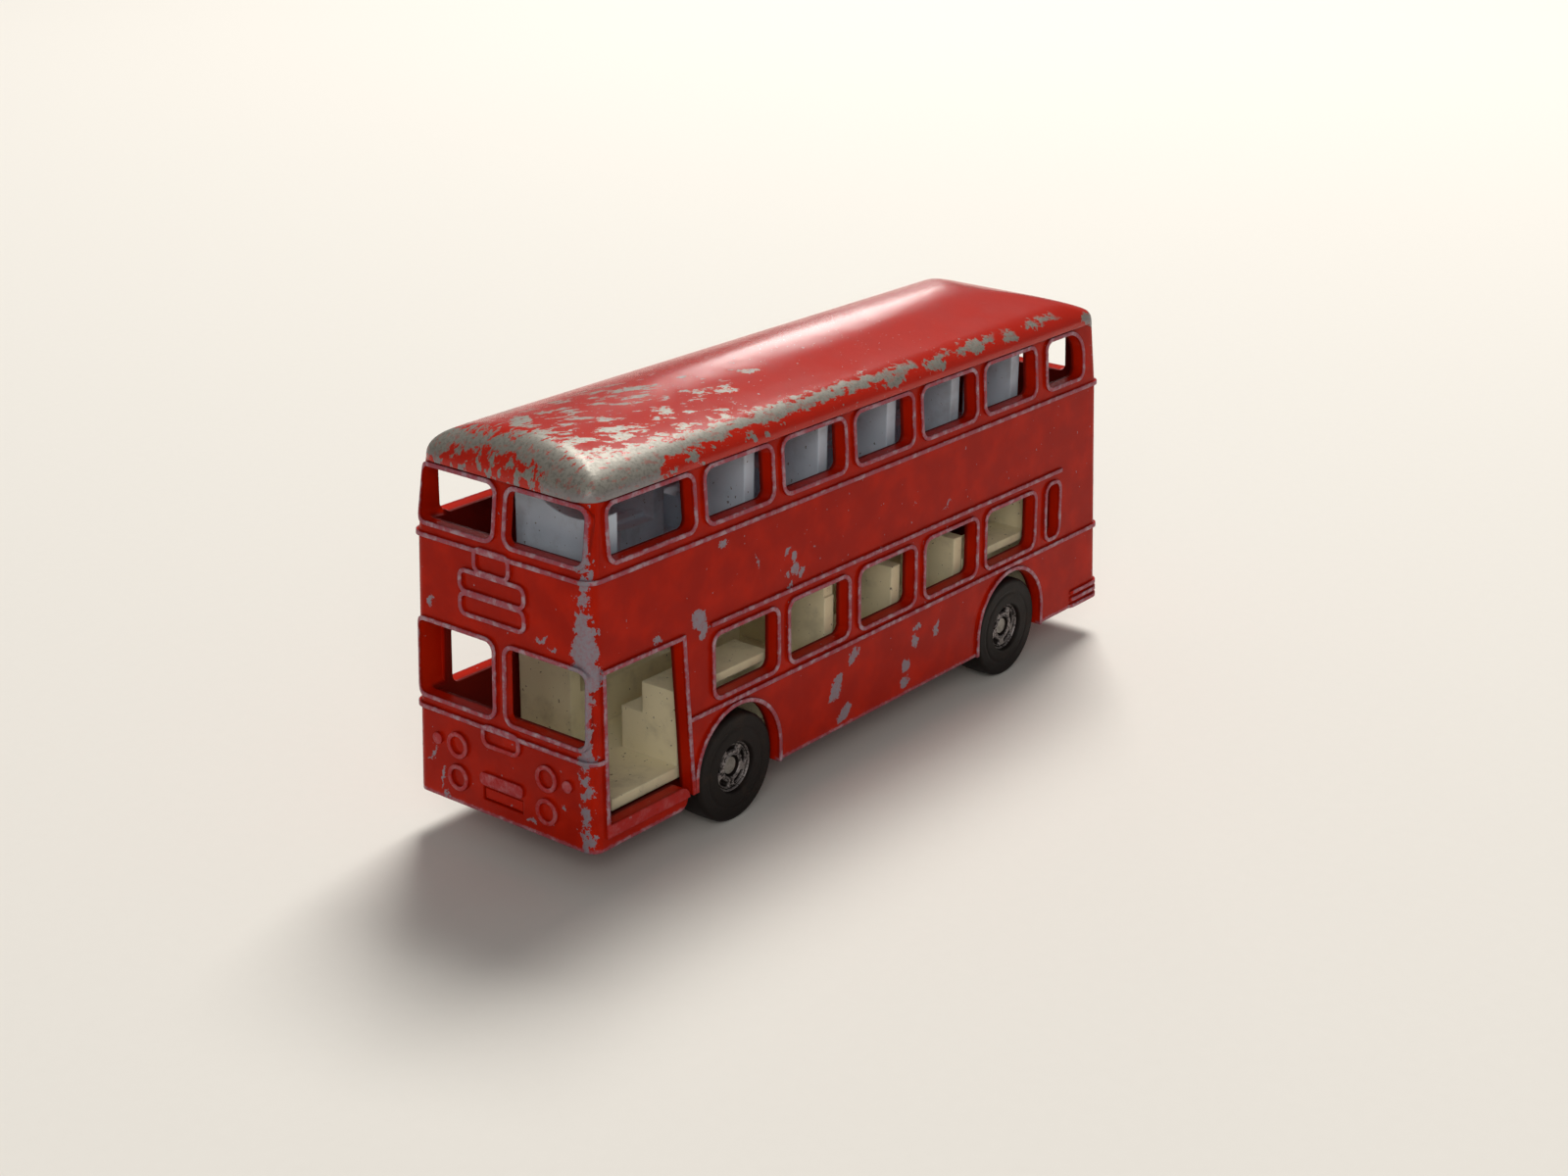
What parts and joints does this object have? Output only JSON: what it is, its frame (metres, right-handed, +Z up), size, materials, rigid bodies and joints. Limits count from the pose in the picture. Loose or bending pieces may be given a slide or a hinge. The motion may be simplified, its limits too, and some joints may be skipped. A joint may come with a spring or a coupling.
{
  "type": "toy bus",
  "caption": "Die-cast double-deck toy bus: a worn red metal shell on a flat base, cream moulded decks inside, open windows, and plastic wheels that turn on headed wire axles.",
  "frame": {"origin": "on the ground under the wheels, in the middle of the bus's length and width", "axes": "+X forward, +Y towards the door side, +Z up"},
  "size_m": [0.076, 0.0206, 0.0361],
  "materials": {
    "red_paint": "gloss red paint on a zinc casting, chipped to bare grey metal on the roof's edges and corners",
    "cream_plastic": "cream moulding with a dull surface and dark dust specks",
    "axle_steel": "drawn steel wire, dull",
    "black_plastic": "brown-black moulding with a rubbed silver hub"
  },
  "bodies": {
    "chassis": {"body_shell": "red_paint", "base_plate": "red_paint", "lower_deck": "cream_plastic", "upper_deck": "cream_plastic", "front_axle": "axle_steel", "rear_axle": "axle_steel"},
    "wheel_fl": {"wheel_front_left": "black_plastic"},
    "wheel_fr": {"wheel_front_right": "black_plastic"},
    "wheel_rl": {"wheel_rear_left": "black_plastic"},
    "wheel_rr": {"wheel_rear_right": "black_plastic"}
  },
  "joints": [
    {"name": "wheel_front_left_turn", "type": "hinge", "parent": "chassis", "child": "wheel_fl", "pos_m": [0.0199, 0.008, 0.00485], "axis": [0, 1, 0], "continuous": true},
    {"name": "wheel_front_right_turn", "type": "hinge", "parent": "chassis", "child": "wheel_fr", "pos_m": [0.0199, -0.008, 0.00485], "axis": [0, 1, 0], "continuous": true},
    {"name": "wheel_rear_left_turn", "type": "hinge", "parent": "chassis", "child": "wheel_rl", "pos_m": [-0.0214, 0.008, 0.00485], "axis": [0, 1, 0], "continuous": true},
    {"name": "wheel_rear_right_turn", "type": "hinge", "parent": "chassis", "child": "wheel_rr", "pos_m": [-0.0214, -0.008, 0.00485], "axis": [0, 1, 0], "continuous": true}
  ]
}
